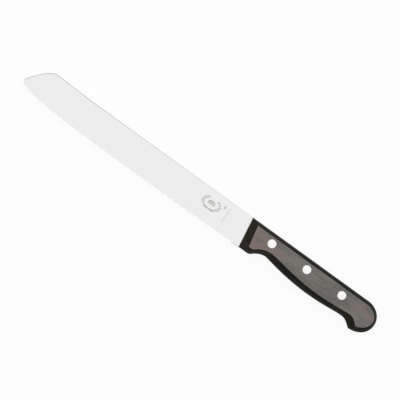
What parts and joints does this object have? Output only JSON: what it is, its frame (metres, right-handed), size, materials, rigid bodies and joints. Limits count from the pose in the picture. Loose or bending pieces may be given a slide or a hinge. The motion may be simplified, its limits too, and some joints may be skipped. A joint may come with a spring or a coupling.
{
  "type": "bread knife",
  "caption": "Bread knife with a long scalloped steel blade on a full tang and a dark wooden handle of scales held by flush rivets.",
  "frame": {"origin": "middle of the bounding box's underside, with the knife lying flat on its right side", "axes": "+X towards the tip of the blade, +Y towards the cutting edge, +Z out of the left face"},
  "size_m": [0.3358, 0.0274, 0.017],
  "materials": {
    "blade_steel": "fine satin, ground across from spine to edge, scallops ground on the right face only",
    "scale_wood": "dark close-grained wood, flat faces polished and slightly lighter, rounded flanks near black",
    "rivet_metal": "ground flush and polished"
  },
  "bodies": {
    "root": {"blade": "blade_steel", "left_scale": "scale_wood", "right_scale": "scale_wood", "front_rivet_sleeve": "rivet_metal", "front_rivet_pin": "rivet_metal", "middle_rivet_sleeve": "rivet_metal", "middle_rivet_pin": "rivet_metal", "rear_rivet_sleeve": "rivet_metal", "rear_rivet_pin": "rivet_metal"}
  },
  "joints": []
}
